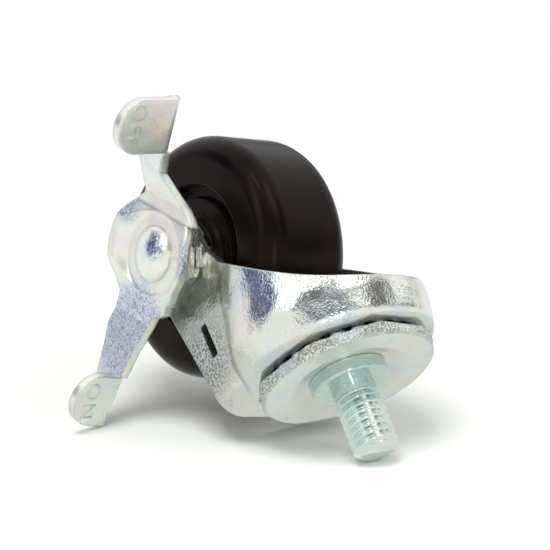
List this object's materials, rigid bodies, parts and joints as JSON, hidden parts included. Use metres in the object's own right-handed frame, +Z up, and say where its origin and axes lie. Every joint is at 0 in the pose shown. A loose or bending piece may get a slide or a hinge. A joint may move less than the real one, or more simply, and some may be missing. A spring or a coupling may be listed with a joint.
{
  "type": "swivel castor",
  "caption": "Threaded-stem swivel castor with a pressed steel fork, a hard rubber wheel and a side brake lever marked ON and OFF",
  "frame": {"origin": "centre of the stem collar's flat top face, where the castor seats against the furniture", "axes": "+Z up along the threaded stem, away from the floor; +X from the stem axis towards the axle, the way the wheel trails; +Y along the axle, away from the brake lever"},
  "size_m": [0.0737, 0.0618, 0.0832],
  "materials": {
    "clear_zinc": "clear bright zinc plating on pressed steel, faintly green and blue",
    "lever_zinc": "clear zinc plating on the brake lever, faint yellow and pink tints",
    "bright_zinc": "bright zinc plating on turned steel",
    "bearing_steel": "plain polished bearing steel",
    "hard_rubber": "moulded hard rubber, dark brown-black, satin"
  },
  "bodies": {
    "mounting": {"stem": "bright_zinc", "top_plate": "clear_zinc", "lower_race": "clear_zinc"},
    "fork_body": {"fork": "clear_zinc", "axle_nut": "clear_zinc", "axle_sleeve": "bearing_steel", "lever_side_washer": "bearing_steel", "far_side_washer": "bearing_steel"},
    "wheel_body": {"wheel": "hard_rubber"},
    "lever_body": {"brake_lever": "lever_zinc", "axle_bolt": "bright_zinc"},
    "upper_ball_ring": {"upper_balls": "bearing_steel"},
    "lower_ball_ring": {"lower_balls": "bearing_steel"}
  },
  "joints": [
    {"name": "swivel", "type": "hinge", "parent": "mounting", "child": "fork_body", "pos_m": [0, 0, 0], "axis": [0, 0, 1], "continuous": true},
    {"name": "wheel_spin", "type": "hinge", "parent": "fork_body", "child": "wheel_body", "pos_m": [0.01887, 0, -0.04267], "axis": [0, 1, 0], "continuous": true},
    {"name": "brake_turn", "type": "hinge", "parent": "fork_body", "child": "lever_body", "pos_m": [0.01887, 0, -0.04267], "axis": [0, 1, 0], "range_deg": [0, 70]},
    {"name": "upper_ball_roll", "type": "hinge", "parent": "mounting", "child": "upper_ball_ring", "pos_m": [0, 0, 0], "axis": [0, 0, 1], "continuous": true},
    {"name": "lower_ball_roll", "type": "hinge", "parent": "mounting", "child": "lower_ball_ring", "pos_m": [0, 0, 0], "axis": [0, 0, 1], "continuous": true}
  ],
  "couplings": [
    {"joint": "upper_ball_roll", "follows": "swivel", "ratio": 0.5},
    {"joint": "lower_ball_roll", "follows": "swivel", "ratio": 0.5}
  ]
}
